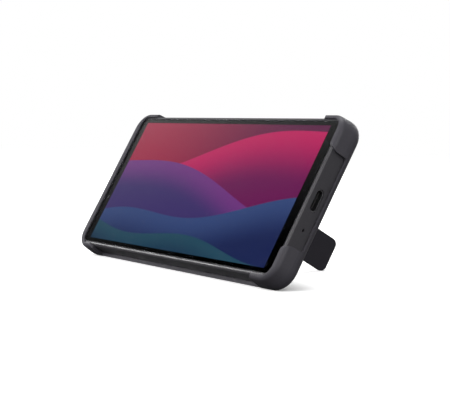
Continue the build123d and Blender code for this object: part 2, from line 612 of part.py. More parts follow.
def tell_place(label, placement, x, y, z):
    """Prints where a point in the handset's axes stands, in metres."""
    point = (placement * Pos(x, y, z)).position
    print(f"{label}: {point.X / 1000:.6f} {point.Y / 1000:.6f} {point.Z / 1000:.6f}")


def main():
    """Makes every piece, stands it up and writes one STEP file each."""
    os.makedirs("parts", exist_ok=True)
    parts = make_parts()
    placement = stand_up(parts)
    for name, part in parts.items():
        export_step(placement * part, f"parts/{name}.step")
    lean = lean_angle()
    print(f"lean {lean:.4f}")
    print(f"screen up: 0 {sin(radians(lean)):.6f} {cos(radians(lean)):.6f}")
    print(f"screen out: 0 {-cos(radians(lean)):.6f} {sin(radians(lean)):.6f}")
    tell_place("hinge", placement, HINGE_X, 0, HINGE_Z)
    tell_place("power key", placement, POWER_X, SIDE_Y, KEY_Z)
    tell_place("volume rocker", placement, VOLUME_X, SIDE_Y - ROCKER_IN, KEY_Z)
    tell_place("tray", placement, TRAY_X, -SIDE_Y, KEY_Z)
    tell_place("audio bore", placement, 7 - END_X, JACK_Y, JACK_Z)
    tell_place("charging socket", placement, END_X, PORT_Y, PORT_Z)
    tell_place("glass face", placement, 0, 0, 0)
    tell_place("cover back", placement, -30, -15, COVER_BACK)


main()
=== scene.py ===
"""Looks for a slim touchscreen handset in a bumper cover that leans on its kickstand.

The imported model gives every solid. This script gives each of them its finish, adds the small
details that the solids leave out, and sets up a plain pale studio round them.
"""

import json
import logging
import math
from dataclasses import dataclass, field
from enum import Enum

import bmesh
import bpy
from mathutils import Matrix, Vector

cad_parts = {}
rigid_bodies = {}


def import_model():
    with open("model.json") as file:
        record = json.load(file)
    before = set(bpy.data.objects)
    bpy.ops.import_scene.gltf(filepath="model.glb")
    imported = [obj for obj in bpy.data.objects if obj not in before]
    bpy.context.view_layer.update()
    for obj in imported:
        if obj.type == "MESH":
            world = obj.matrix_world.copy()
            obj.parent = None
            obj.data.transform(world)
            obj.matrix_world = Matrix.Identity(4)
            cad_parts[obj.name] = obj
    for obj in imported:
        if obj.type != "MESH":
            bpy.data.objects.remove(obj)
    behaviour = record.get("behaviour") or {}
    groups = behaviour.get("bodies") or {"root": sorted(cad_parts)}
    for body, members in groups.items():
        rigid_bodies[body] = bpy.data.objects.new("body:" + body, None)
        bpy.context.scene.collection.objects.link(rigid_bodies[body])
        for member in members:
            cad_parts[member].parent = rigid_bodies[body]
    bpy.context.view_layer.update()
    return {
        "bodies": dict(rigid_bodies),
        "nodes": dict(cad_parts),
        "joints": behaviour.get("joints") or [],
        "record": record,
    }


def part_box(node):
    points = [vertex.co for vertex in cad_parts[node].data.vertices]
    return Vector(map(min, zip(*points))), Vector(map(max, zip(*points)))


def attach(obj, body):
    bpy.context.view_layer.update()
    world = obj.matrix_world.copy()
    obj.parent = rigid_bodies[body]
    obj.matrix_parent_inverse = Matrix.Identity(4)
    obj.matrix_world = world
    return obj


Rgb = tuple[float, float, float]
Point = tuple[float, float, float]
Span = tuple[float, float]
Outline = list[tuple[float, float]]
Socket = bpy.types.NodeSocket

LOG = logging.getLogger("handset_looks")
MM = 0.001
WHITE: Rgb = (1.0, 1.0, 1.0)
MERGE_WITHIN = 1e-4  # millimetres
SHARP_FROM = math.radians(35.0)


def placed(name: str, data: bpy.types.ID) -> bpy.types.Object:
    """Puts a mesh, a light or a camera into the scene.

    Args:
        name: the new object's name.
        data: what it holds.

    Returns:
        The new object.
    """
    thing = bpy.data.objects.new(name, data)
    bpy.context.scene.collection.objects.link(thing)
    return thing


# ------------------------------------------------------------------ the handset's own axes
@dataclass(frozen=True)
class Axes:
    """The handset's axes: X to the charging end, Y up the screen, Z out of the glass.

    Args:
        origin: middle of the glass face, in metres.
        x: unit vector along the long side.
        y: unit vector up the screen.
        z: unit vector out of the screen.
    """

    origin: Vector
    x: Vector
    y: Vector
    z: Vector

    @classmethod
    def from_record(cls, record: dict) -> "Axes":
        """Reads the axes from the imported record's screen_face mount.

        Args:
            record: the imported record.

        Returns:
            The handset's axes.
        """
        mount = next(m for m in record["mounts"] if m["name"] == "screen_face")
        z = Vector(mount["axis"]).normalized()
        x = Vector((1.0, 0.0, 0.0))
        return cls(Vector(mount["pos_m"]), x, z.cross(x), z)

    def turn(self) -> Matrix:
        """Returns the rotation from the handset's axes to the row frame."""
        return Matrix((self.x, self.y, self.z)).transposed()

    def place(self) -> Matrix:
        """Returns the matrix from handset millimetres to metres in the row frame."""
        return Matrix.Translation(self.origin) @ self.turn().to_4x4() @ Matrix.Scale(MM, 4)

    def local(self, point: Vector) -> Vector:
        """Returns a point of the row frame in handset millimetres."""
        return self.place().inverted() @ point

    def middle(self, node: str) -> Vector:
        """Returns the middle of a node's box in handset millimetres."""
        low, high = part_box(node)
        return self.local((low + high) / 2)


# ------------------------------------------------------------------ node trees
class Desk:
    """Places nodes in one node tree and wires them together."""

    def __init__(self, tree: bpy.types.NodeTree) -> None:
        """Takes the tree to work on."""
        self.tree = tree

    def feed(self, socket: Socket, value: object) -> None:
        """Joins an input to an output or gives it a plain value.

        Args:
            socket: the input.
            value: the output to join, or the number or colour to set.
        """
        if isinstance(value, Socket):
            self.tree.links.new(value, socket)
        else:
            socket.default_value = value

    def add(self, kind: str, sockets: dict | None = None, **settings: object) -> bpy.types.Node:
        """Adds a node.

        Args:
            kind: the node's type name.
            sockets: values for its inputs, each a number, a colour or an output to join.
            settings: the node's own settings.

        Returns:
            The new node.
        """
        node = self.tree.nodes.new(kind)
        for key, value in settings.items():
            setattr(node, key, value)
        for key, value in (sockets or {}).items():
            self.feed(node.inputs[key], value)
        return node

    def math(self, operation: str, a: object, b: object = 0.0) -> Socket:
        """Returns the result of one sum on two values."""
        return self.add("ShaderNodeMath", {0: a, 1: b}, operation=operation).outputs[0]

    def noise(self, at: object, scale: object, detail: float = 2.0) -> Socket:
        """Returns a cloudy value from 0 to 1.

        Args:
            at: the place to read it at.
            scale: how many cells there are per unit.
            detail: how many finer octaves are added.

        Returns:
            The value's socket.
        """
        sockets = {"Vector": at, "Scale": scale, "Detail": detail}
        return self.add("ShaderNodeTexNoise", sockets).outputs[0]

    def span(self, value: object, low: float, high: float, start: float = 0.0,
             end: float = 1.0, smooth: bool = True) -> Socket:
        """Maps a value from one range to another, held at both ends.

        Args:
            value: the value to map.
            low: where the range starts.
            high: where the range ends.
            start: the result at low.
            end: the result at high.
            smooth: eases in and out.

        Returns:
            The mapped value's socket.
        """
        sockets = {"Value": value, "From Min": low, "From Max": high, "To Min": start,
                   "To Max": end}
        kind = "SMOOTHSTEP" if smooth else "LINEAR"
        node = self.add("ShaderNodeMapRange", sockets, interpolation_type=kind, clamp=True)
        return node.outputs[0]

    def between(self, factor: object, a: object, b: object) -> Socket:
        """Returns the value that lies a factor of the way from one to another."""
        return self.add("ShaderNodeMix", {0: factor, 2: a, 3: b}).outputs[0]

    def blend(self, factor: object, a: object, b: object) -> Socket:
        """Blends two colours.

        Args:
            factor: how much of the second one shows.
            a: the first colour.
            b: the second colour.

        Returns:
            The blended colour's socket.
        """
        sockets = {0: factor}
        for key, colour in {6: a, 7: b}.items():
            sockets[key] = colour if isinstance(colour, Socket) else (*colour, 1.0)
        return self.add("ShaderNodeMix", sockets, data_type="RGBA").outputs[2]

    def rays(self) -> tuple[Socket, Socket]:
        """Tells what is seen from what only lights the object.

        Returns:
            Whether the camera sees the place itself, and whether it is seen in a gloss or
            through glass.
        """
        path = self.add("ShaderNodeLightPath")
        mirrored = self.math("MAXIMUM", path.outputs["Is Glossy Ray"],
                             path.outputs["Is Transmission Ray"])
        return path.outputs["Is Camera Ray"], mirrored


class Effect(Enum):
    """The surface effects that several finishes share, each one shader node group."""

    GRAIN = "surface_grain"
    DRIFT = "tone_drift"
    HANDLING = "handling_marks"
    DRAWN = "drawn_lines"


@dataclass
class Effects:
    """Builds each shared effect once and hands it out.

    Args:
        groups: the effects built so far.
        grain_finer: how many times finer the grain's second layer is.
        grain_shares: how much of the grain each layer gives.
        drift_cells: cells per millimetre of the tone's clouds and of its specks.
        patch_cells: cells per millimetre of the handled patches.
        patch_edge: the cloud's values between which a patch begins.
        streak_cells: cells per millimetre of the streaks in the patches.
        streak_edge: the values between which a streak begins.
        streak_share: how much a patch shows outside and inside its streaks.
        drawn_swing: how far the roughness swings over the drawn lines.
    """

    groups: dict[Effect, bpy.types.NodeTree] = field(default_factory=dict)
    grain_finer: float = 2.7
    grain_shares: Span = (0.6, 0.4)
    drift_cells: Span = (0.055, 3.1)
    patch_cells: float = 0.11
    patch_edge: Span = (0.42, 0.72)
    streak_cells: float = 0.9
    streak_edge: Span = (0.3, 0.7)
    streak_share: Span = (0.5, 1.0)
    drawn_swing: float = 0.35

    def get(self, effect: Effect) -> bpy.types.NodeTree:
        """Finds an effect's node group, and builds it the first time.

        Args:
            effect: which one.

        Returns:
            The node group.
        """
        if effect not in self.groups:
            makers = {Effect.GRAIN: self.grain, Effect.DRIFT: self.drift,
                      Effect.HANDLING: self.handling, Effect.DRAWN: self.drawn}
            self.groups[effect] = makers[effect]()
        return self.groups[effect]

    @staticmethod
    def start(name: str, takes: dict[str, str], gives: dict[str, str]
              ) -> tuple[Desk, bpy.types.Node, bpy.types.Node]:
        """Starts a node group with its named sockets.

        Args:
            name: the group's name.
            takes: the kind of each input by name.
            gives: the kind of each output by name.

        Returns:
            The desk to build on, the group's input node and its output node.
        """
        tree = bpy.data.node_groups.new(name, "ShaderNodeTree")
        for label, kind in takes.items():
            tree.interface.new_socket(label, in_out="INPUT", socket_type=f"NodeSocket{kind}")
        for label, kind in gives.items():
            tree.interface.new_socket(label, in_out="OUTPUT", socket_type=f"NodeSocket{kind}")
        desk = Desk(tree)
        return desk, desk.add("NodeGroupInput"), desk.add("NodeGroupOutput")

    def grain(self) -> bpy.types.NodeTree:
        """Builds the fine pebbled grain of moulded and sprayed surfaces.

        Returns:
            Its node group.
        """
        desk, given, result = self.start(
            Effect.GRAIN.value, {"Vector": "Vector", "Scale": "Float", "Height": "Float"},
            {"Normal": "Vector"})
        coarse_share, fine_share = self.grain_shares
        coarse = desk.noise(given.outputs["Vector"], given.outputs["Scale"], detail=1.0)
        fine_scale = desk.math("MULTIPLY", given.outputs["Scale"], self.grain_finer)
        fine = desk.noise(given.outputs["Vector"], fine_scale, detail=2.0)
        pebbles = desk.math("ADD", desk.math("MULTIPLY", coarse, coarse_share),
                            desk.math("MULTIPLY", fine, fine_share))
        bump = desk.add("ShaderNodeBump", {"Strength": 1.0, "Height": pebbles,
                                           "Distance": given.outputs["Height"]})
        desk.feed(result.inputs["Normal"], bump.outputs[0])
        return desk.tree

    def drift(self) -> bpy.types.NodeTree:
        """Builds the slow wandering of a colour's depth over a surface.

        Returns:
            Its node group.
        """
        desk, given, result = self.start(
            Effect.DRIFT.value, {"Vector": "Vector", "Color": "Color", "Amount": "Float"},
            {"Color": "Color"})
        cloud_cells, speck_cells = self.drift_cells
        cloud = desk.noise(given.outputs["Vector"], cloud_cells, detail=3.0)
        specks = desk.noise(given.outputs["Vector"], speck_cells, detail=1.0)
        both = desk.math("ADD", cloud, specks)
        swing = desk.math("MULTIPLY", desk.math("SUBTRACT", both, 1.0), given.outputs["Amount"])
        value = desk.math("ADD", swing, 1.0)
        tone = desk.add("ShaderNodeHueSaturation", {"Value": value,
                                                    "Color": given.outputs["Color"]})
        desk.feed(result.inputs["Color"], tone.outputs[0])
        return desk.tree

    def handling(self) -> bpy.types.NodeTree:
        """Builds the patches that fingers and pockets polish into a surface.

        Returns:
            Its node group.
        """
        desk, given, result = self.start(
            Effect.HANDLING.value,
            {"Vector": "Vector", "Roughness": "Float", "Amount": "Float"},
            {"Roughness": "Float"})
        cloud = desk.noise(given.outputs["Vector"], self.patch_cells, detail=4.0)
        rubbed = desk.span(cloud, *self.patch_edge)
        streaks = desk.noise(given.outputs["Vector"], self.streak_cells, detail=2.0)
        mask = desk.math("MULTIPLY", rubbed,
                         desk.span(streaks, *self.streak_edge, *self.streak_share))
        less = desk.math("MULTIPLY", mask, given.outputs["Amount"])
        rough = desk.math("SUBTRACT", given.outputs["Roughness"], less)
        desk.feed(result.inputs["Roughness"], rough)
        return desk.tree

    def drawn(self) -> bpy.types.NodeTree:
        """Builds the fine parallel lines of rolled, drawn and ground metal.

        Returns:
            Its node group.
        """
        desk, given, result = self.start(
            Effect.DRAWN.value,
            {"Vector": "Vector", "Stretch": "Vector", "Roughness": "Float", "Height": "Float"},
            {"Roughness": "Float", "Normal": "Vector"})
        along = desk.add("ShaderNodeVectorMath", {0: given.outputs["Vector"],
                                                  1: given.outputs["Stretch"]},
                         operation="MULTIPLY").outputs[0]
        lines = desk.noise(along, 1.0, detail=3.0)
        swing = desk.math("MULTIPLY", desk.math("SUBTRACT", lines, 0.5), self.drawn_swing)
        rough = desk.math("ADD", given.outputs["Roughness"], swing)
        bump = desk.add("ShaderNodeBump", {"Strength": 1.0, "Height": lines,
                                           "Distance": given.outputs["Height"]})
        desk.feed(result.inputs["Roughness"], rough)
        desk.feed(result.inputs["Normal"], bump.outputs[0])
        return desk.tree


class Coat(Desk):
    """One material under way: its Principled surface and the place that its patterns read."""

    def __init__(self, name: str, axes: Axes, effects: Effects) -> None:
        """Starts the material with object coordinates turned to handset millimetres.

        Args:
            name: the material's name.
            axes: the handset's axes.
            effects: the shared effects.
        """
        self.material = bpy.data.materials.new(name)
        self.material.use_nodes = True
        super().__init__(self.material.node_tree)
        self.effects = effects
        self.surface = self.tree.nodes["Principled BSDF"]
        there = self.add("ShaderNodeTexCoord").outputs["Object"]
        sockets = {"Vector": there, "Location": axes.origin,
                   "Rotation": axes.turn().to_euler(), "Scale": (MM, MM, MM)}
        self.at = self.add("ShaderNodeMapping", sockets, vector_type="TEXTURE").outputs[0]

    def effect(self, effect: Effect, **sockets: object) -> bpy.types.Node:
        """Adds a shared effect with its own values.

        Args:
            effect: which one.
            sockets: the values of its inputs by name.

        Returns:
            The group node.
        """
        return self.add("ShaderNodeGroup", {"Vector": self.at, **sockets},
                        node_tree=self.effects.get(effect))

    def set(self, **values: object) -> None:
        """Sets or joins the surface's sockets, named with underscores for spaces."""
        for key, value in values.items():
            self.feed(self.surface.inputs[key.replace("_", " ")], value)


# ------------------------------------------------------------------ finishes
@dataclass(frozen=True)
class Moulded:
    """A moulded, printed or sprayed plastic, rubber or resin surface.

    Args:
        slot: the record's material slot.
        base: its colour.
        roughness: how matt it is.
        grain: grain cells per millimetre.
        height: the grain's height in millimetres.
        drift: how far its tone wanders.
        polish: how much handling smooths it.
        specular: the strength of its plain reflection.
    """

    slot: str
    base: Rgb
    roughness: float = 0.5
    grain: float = 4.0
    height: float = 0.01
    drift: float = 0.15
    polish: float = 0.08
    specular: float = 0.5

    def make(self, axes: Axes, effects: Effects) -> bpy.types.Material:
        """Makes the finish.

        Args:
            axes: the handset's axes.
            effects: the shared effects.

        Returns:
            Its material.
        """
        coat = Coat(self.slot, axes, effects)
        tone = coat.effect(Effect.DRIFT, Color=(*self.base, 1.0), Amount=self.drift)
        marks = coat.effect(Effect.HANDLING, Roughness=self.roughness, Amount=self.polish)
        grain = coat.effect(Effect.GRAIN, Scale=self.grain, Height=self.height * MM)
        coat.set(Base_Color=tone.outputs[0], Roughness=marks.outputs["Roughness"],
                 Normal=grain.outputs["Normal"], Specular_IOR_Level=self.specular)
        return coat.material


@dataclass(frozen=True)
class Metal:
    """A rolled, drawn or plated metal surface.

    Args:
        slot: the record's material slot.
        base: its colour.
        roughness: how matt it is.
        stretch: line cells per millimetre along each handset axis.
        height: the lines' height in millimetres.
        metallic: how metallic it is; paint over metal has less.
        drift: how far its tone wanders.
    """

    slot: str
    base: Rgb
    roughness: float = 0.35
    stretch: Point = (0.4, 9.0, 9.0)
    height: float = 0.004
    metallic: float = 1.0
    drift: float = 0.2

    def make(self, axes: Axes, effects: Effects) -> bpy.types.Material:
        """Makes the finish.

        Args:
            axes: the handset's axes.
            effects: the shared effects.

        Returns:
            Its material.
        """
        coat = Coat(self.slot, axes, effects)
        tone = coat.effect(Effect.DRIFT, Color=(*self.base, 1.0), Amount=self.drift)
        lines = coat.effect(Effect.DRAWN, Stretch=self.stretch, Roughness=self.roughness,
                            Height=self.height * MM)
        coat.set(Base_Color=tone.outputs[0], Roughness=lines.outputs["Roughness"],
                 Normal=lines.outputs["Normal"], Metallic=self.metallic)
        return coat.material


@dataclass(frozen=True)
class ClearGlass:
    """Polished clear glass with a faint film of handling and a rough ground edge. The edge is
    tinted grey as painted shade that dims the light seen through it.

    Args:
        slot: the record's material slot.
        bend: its index of refraction.
        half: half the front glass's length and width, in millimetres.
        corner: the radius of its corners.
        ground: how far in from the outline the ground edge reaches, and where it has faded.
        rim_painted_shade: the ground edge's grey tint, painted shade that dims it.
        ground_roughness: the ground edge's roughness.
        roughness: the polished face's roughness.
        polish: how much handling changes that.
    """

    slot: str = "clear_glass"
    bend: float = 1.3
    half: Span = (75.55, 32.05)
    corner: float = 3.5
    ground: Span = (-0.22, -0.30)
    rim_painted_shade: Rgb = (0.5, 0.5, 0.52)
    ground_roughness: float = 0.9
    roughness: float = 0.02
    polish: float = 0.02

    def outline(self, coat: Coat) -> Socket:
        """Measures how far a point lies outside the front glass's outline.

        Args:
            coat: the material under way.

        Returns:
            The distance in millimetres, which is negative inside.
        """
        parts = coat.add("ShaderNodeSeparateXYZ", {0: coat.at})
        squares = []
        for value, half in zip(parts.outputs[:2], self.half):
            beyond = coat.math("SUBTRACT", coat.math("ABSOLUTE", value), half - self.corner)
            squares.append(coat.math("POWER", coat.math("MAXIMUM", beyond, 0.0), 2.0))
        from_corner = coat.math("SQRT", coat.math("ADD", *squares))
        return coat.math("SUBTRACT", from_corner, self.corner)

    def make(self, axes: Axes, effects: Effects) -> bpy.types.Material:
        """Makes the finish.

        Args:
            axes: the handset's axes.
            effects: the shared effects.

        Returns:
            Its material.
        """
        coat = Coat(self.slot, axes, effects)
        reach, faded = self.ground
        edge = coat.span(self.outline(coat), faded, reach)
        ground = coat.math("MULTIPLY", edge, self.ground_roughness)
        film = coat.effect(Effect.HANDLING, Amount=self.polish,
                           Roughness=coat.math("MAXIMUM", ground, self.roughness))
        # The rim's grey tint is painted shade that dims the light seen through the glass's edge;
        # its roughness is the ground edge.
        tone = coat.blend(edge, WHITE, self.rim_painted_shade)
        coat.set(Base_Color=tone, Roughness=film.outputs["Roughness"],
                 Transmission_Weight=1.0, IOR=self.bend)
        return coat.material


@dataclass(frozen=True)
class Ribbon:
    """One soft layer of the screen's picture, below a waving edge.

    Args:
        height: where its edge crosses the middle, in millimetres.
        slope: how it climbs to the right.
        swell: how far the edge waves.
        length: the wave's length over two pi.
        phase: where the wave starts.
        glow: the colour just under the edge.
        deep: the colour far below it.
        reach: how far the glow reaches down.
    """

    height: float
    slope: float
    swell: float
    length: float
    phase: float
    glow: Rgb
    deep: Rgb
    reach: float


@dataclass(frozen=True)
class LitScreen:
    """The lit display: soft layered ribbons of colour.

    Args:
        slot: the record's material slot.
        dark: the panel's own colour where nothing is lit.
        roughness: how matt the panel is.
        sky: the colour above the ribbons, towards the charging end.
        sky_warm: the colour above them at the other end.
        sky_turn: where along the screen the one turns into the other, in millimetres.
        feather: how soft a ribbon's edge is, from above it to below it, in millimetres.
        ribbons: the layers from the farthest to the nearest.
    """

    slot: str = "lit_screen"
    dark: Rgb = (0.004, 0.004, 0.005)
    roughness: float = 0.35
    sky: Rgb = (0.10, 0.008, 0.055)
    sky_warm: Rgb = (0.34, 0.008, 0.05)
    sky_turn: Span = (-70.0, 60.0)
    feather: Span = (-0.15, 0.35)
    ribbons: tuple[Ribbon, ...] = (
        # height, slope, swell, length, phase, glow, deep, reach
        Ribbon(17.0, 0.16, 4.5, 24.0, 0.4, (0.50, 0.008, 0.105), (0.14, 0.008, 0.085), 24.0),
        Ribbon(2.0, -0.14, 5.0, 27.0, 2.3, (0.16, 0.035, 0.21), (0.045, 0.028, 0.14), 15.0),
        Ribbon(-11.0, 0.10, 3.6, 21.0, 4.4, (0.035, 0.065, 0.19), (0.012, 0.02, 0.085), 18.0),
        Ribbon(-24.0, -0.05, 2.6, 17.0, 1.0, (0.02, 0.07, 0.11), (0.006, 0.02, 0.06), 14.0))

    def edge(self, coat: Coat, x: Socket, y: Socket,
             ribbon: Ribbon) -> Socket:
        """Measures how far a point lies below a ribbon's edge.

        Args:
            coat: the material under way.
            x: the point's place along the screen.
            y: its height on the screen.
            ribbon: the layer.

        Returns:
            The distance in millimetres, which is negative above the edge.
        """
        angle = coat.math("ADD", coat.math("DIVIDE", x, ribbon.length), ribbon.phase)
        wave = coat.math("MULTIPLY", coat.math("SINE", angle), ribbon.swell)
        line = coat.math("ADD", wave, coat.math("MULTIPLY", x, ribbon.slope))
        return coat.math("SUBTRACT", coat.math("ADD", line, ribbon.height), y)

    def make(self, axes: Axes, effects: Effects) -> bpy.types.Material:
        """Makes the finish.

        Args:
            axes: the handset's axes.
            effects: the shared effects.

        Returns:
            Its material.
        """
        coat = Coat(self.slot, axes, effects)
        parts = coat.add("ShaderNodeSeparateXYZ", {0: coat.at})
        x, y = parts.outputs[0], parts.outputs[1]
        colour = coat.blend(coat.span(x, *self.sky_turn), self.sky_warm, self.sky)
        for ribbon in self.ribbons:
            below = self.edge(coat, x, y, ribbon)
            fade = coat.span(below, 0.0, ribbon.reach)
            layer = coat.blend(fade, ribbon.glow, ribbon.deep)
            colour = coat.blend(coat.span(below, *self.feather), colour, layer)
        coat.set(Base_Color=(*self.dark, 1.0), Roughness=self.roughness,
                 Specular_IOR_Level=0.0, Emission_Color=colour, Emission_Strength=1.0)
        return coat.material


FINISHES = (
    # slot, colour, roughness, grain, height, drift, polish, specular
    Moulded("cover_plastic", (0.058, 0.055, 0.066), 0.55, 5.0, 0.010, 0.14, 0.10, 0.3),
    Moulded("stand_plastic", (0.027, 0.025, 0.032), 0.58, 4.0, 0.008, 0.16, 0.10, 0.2),
    Moulded("frame_plastic", (0.053, 0.051, 0.058), 0.36, 7.0, 0.003, 0.12, 0.06, 0.45),
    Moulded("key_plastic", (0.026, 0.026, 0.030), 0.34, 7.0, 0.004, 0.12, 0.12),
    Moulded("panel_plastic", (0.024, 0.024, 0.028), 0.42, 7.0, 0.004, 0.12, 0.12),
    Moulded("black_print", (0.0022, 0.0022, 0.0028), 0.45, 12.0, 0.002, 0.3, 0.05, 0.0),
    Moulded("black_adhesive", (0.010, 0.010, 0.010), 0.75, 3.0, 0.02, 0.2, 0.0, 0.3),
    Moulded("black_foam", (0.014, 0.014, 0.014), 0.95, 2.5, 0.05, 0.3, 0.0, 0.2),
    Moulded("flex_film", (0.28, 0.12, 0.03), 0.32, 1.5, 0.01, 0.3, 0.1),
    Moulded("board_resin", (0.006, 0.05, 0.028), 0.30, 1.2, 0.02, 0.5, 0.05),
    Moulded("tongue_plastic", (0.004, 0.004, 0.004), 0.6, 5.0, 0.004, 0.2, 0.05),
    Moulded("inner_plastic", (0.012, 0.012, 0.013), 0.50, 4.0, 0.008, 0.2, 0.05),
    Moulded("lens_black", (0.004, 0.004, 0.005), 0.30, 9.0, 0.002, 0.3, 0.05),
    Moulded("lamp_phosphor", (0.72, 0.58, 0.26), 0.40, 6.0, 0.01, 0.25, 0.0),
    Moulded("lens_coating", (0.008, 0.010, 0.022), 0.06, 3.0, 0.0, 0.3, 0.02, 0.8),
    Moulded("seal_rubber", (0.014, 0.014, 0.014), 0.70, 3.0, 0.02, 0.2, 0.0, 0.3),
    Moulded("dust_mesh", (0.010, 0.010, 0.011), 0.55, 6.0, 0.03, 0.4, 0.0),
    # slot, colour, roughness, stretch, height, metallic
    Metal("pin_steel", (0.55, 0.55, 0.56), 0.28, (8.0, 0.3, 8.0)),
    Metal("chassis_metal", (0.50, 0.50, 0.52), 0.42),
    Metal("screw_steel", (0.40, 0.40, 0.42), 0.30, (6.0, 6.0, 6.0)),
    Metal("cell_foil", (0.10, 0.10, 0.11), 0.45, (0.3, 3.0, 3.0), 0.01),
    Metal("shield_tin", (0.60, 0.59, 0.56), 0.36),
    Metal("port_steel", (0.22, 0.22, 0.23), 0.5, (9.0, 0.5, 0.5)),
    Metal("surround_metal", (0.16, 0.16, 0.17), 0.30, (6.0, 6.0, 6.0), 0.002, 0.8),
    ClearGlass(),
    LitScreen(),
)


# ------------------------------------------------------------------ new pieces
class Form:
    """A mesh under way, in the handset's own axes and millimetres."""

    def __init__(self) -> None:
        """Starts empty."""
        self.bm = bmesh.new()

    def turned(self, outline: Outline, centre: Vector, axis: Vector, steps: int = 48) -> None:
        """Spins an outline round an axis.

        Args:
            outline: (radius, distance along the axis) points, from the axis outwards.
            centre: where the axis starts.
            axis: its unit direction.
            steps: how many sides the result has.
        """
        side = axis.orthogonal().normalized()
        verts = [self.bm.verts.new(centre + side * r + axis * h) for r, h in outline]
        edges = [self.bm.edges.new(pair) for pair in zip(verts, verts[1:])]
        bmesh.ops.spin(self.bm, geom=verts + edges, cent=centre, axis=axis,
                       angle=2 * math.pi, steps=steps, use_merge=True)

    def dome(self, radius: float, rise: float, centre: Vector, axis: Vector) -> None:
        """Adds a shallow lens, round on its outer side.

        Args:
            radius: how wide it is from its middle.
            rise: how far its middle stands out.
            centre: the middle of its flat side.
            axis: the unit direction that it faces.
        """
        steps = 8
        bend = (radius ** 2 + rise ** 2) / (2 * rise)
        outline = [(radius, 0.0)]
        for i in range(1, steps):
            r = radius * (1 - i / steps)
            outline.append((r, math.sqrt(bend ** 2 - r ** 2) - bend + rise))
        self.turned([*outline, (0.0, rise)], centre, axis, steps=40)

    def bar(self, size: Point, centre: Vector, edge: float) -> None:
        """Adds a bar with softened edges.

        Args:
            size: its lengths along the handset's axes.
            centre: its middle.
            edge: the width of its bevels.
        """
        made = bmesh.ops.create_cube(self.bm, size=1.0)["verts"]
        bmesh.ops.scale(self.bm, vec=size, verts=made)
        bmesh.ops.translate(self.bm, vec=centre, verts=made)
        edges = list({e for v in made for e in v.link_edges})
        bmesh.ops.bevel(self.bm, geom=edges, offset=edge, segments=2, profile=0.5,
                        affect="EDGES", material=-1)

    def mesh(self, name: str, axes: Axes) -> bpy.types.Mesh:
        """Closes the form and puts it in place.

        Args:
            name: the mesh's name.
            axes: the handset's axes.

        Returns:
            The mesh, in metres in the row frame.
        """
        bmesh.ops.remove_doubles(self.bm, verts=self.bm.verts[:], dist=MERGE_WITHIN)
        bmesh.ops.recalc_face_normals(self.bm, faces=self.bm.faces[:])
        bmesh.ops.transform(self.bm, matrix=axes.place(), verts=self.bm.verts[:])
        mesh = bpy.data.meshes.new(name)
        self.bm.to_mesh(mesh)
        self.bm.free()
        mesh.shade_smooth()
        mesh.set_sharp_from_angle(angle=SHARP_FROM)
        return mesh


@dataclass
class Shop:
    """What every sub-assembly works with: the axes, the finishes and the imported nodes.

    Args:
        axes: the handset's axes.
        nodes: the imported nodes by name.
        slots: each node's material slot.
        materials: the finishes by name.
    """

    axes: Axes
    nodes: dict[str, bpy.types.Object]
    slots: dict[str, str]
    materials: dict[str, bpy.types.Material] = field(default_factory=dict)

    def reach(self, node: str) -> tuple[Vector, Vector]:
        """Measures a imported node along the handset's axes.

        Args:
            node: its name.

        Returns:
            The lowest and the highest corner of its box, in handset millimetres.
        """
        points = [self.axes.local(vert.co) for vert in self.nodes[node].data.vertices]
        return (Vector(min(p[i] for p in points) for i in range(3)),
                Vector(max(p[i] for p in points) for i in range(3)))

    def dress(self, names: tuple[str, ...]) -> None:
        """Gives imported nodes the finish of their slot.

        Args:
            names: the nodes.
        """
        for name in names:
            data = self.nodes[name].data
            data.materials.clear()
            data.materials.append(self.materials[self.slots[name]])
            LOG.info("%s wears %s", name, self.slots[name])

    def add(self, name: str, form: Form, wears: str, slot: str | None = None,
            body: str = "handset") -> None:
        """Makes a form into a new piece and hangs it on its body.

        Args:
            name: the piece's name.
            form: its shape.
            wears: the name of its finish.
            slot: not used.
            body: the body that it moves with.
        """
        mesh = form.mesh(name, self.axes)
        mesh.materials.append(self.materials[wears])
        piece = placed(name, mesh)
        slot = slot or wears
        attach(piece, body)
        LOG.info("%s rides on %s and wears %s, %d faces", name, body, wears,
                 len(mesh.polygons))


@dataclass
class Cover:
    """The bumper cover with its kickstand.

    Args:
        nodes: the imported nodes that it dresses.
    """

    nodes: tuple[str, ...] = ("cover_shell", "kickstand", "kickstand_pin")

    def build(self, shop: Shop) -> None:
        """Dresses the cover's solids."""
        shop.dress(self.nodes)


@dataclass
class Shell:
    """The handset's frame, its back panel and what seals them.

    Args:
        nodes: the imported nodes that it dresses.
    """

    nodes: tuple[str, ...] = ("side_frame", "back_panel", "back_gasket", "glass_gasket",
                              "speaker_mesh", "earpiece_mesh")

    def build(self, shop: Shop) -> None:
        """Dresses the shell's solids."""
        shop.dress(self.nodes)


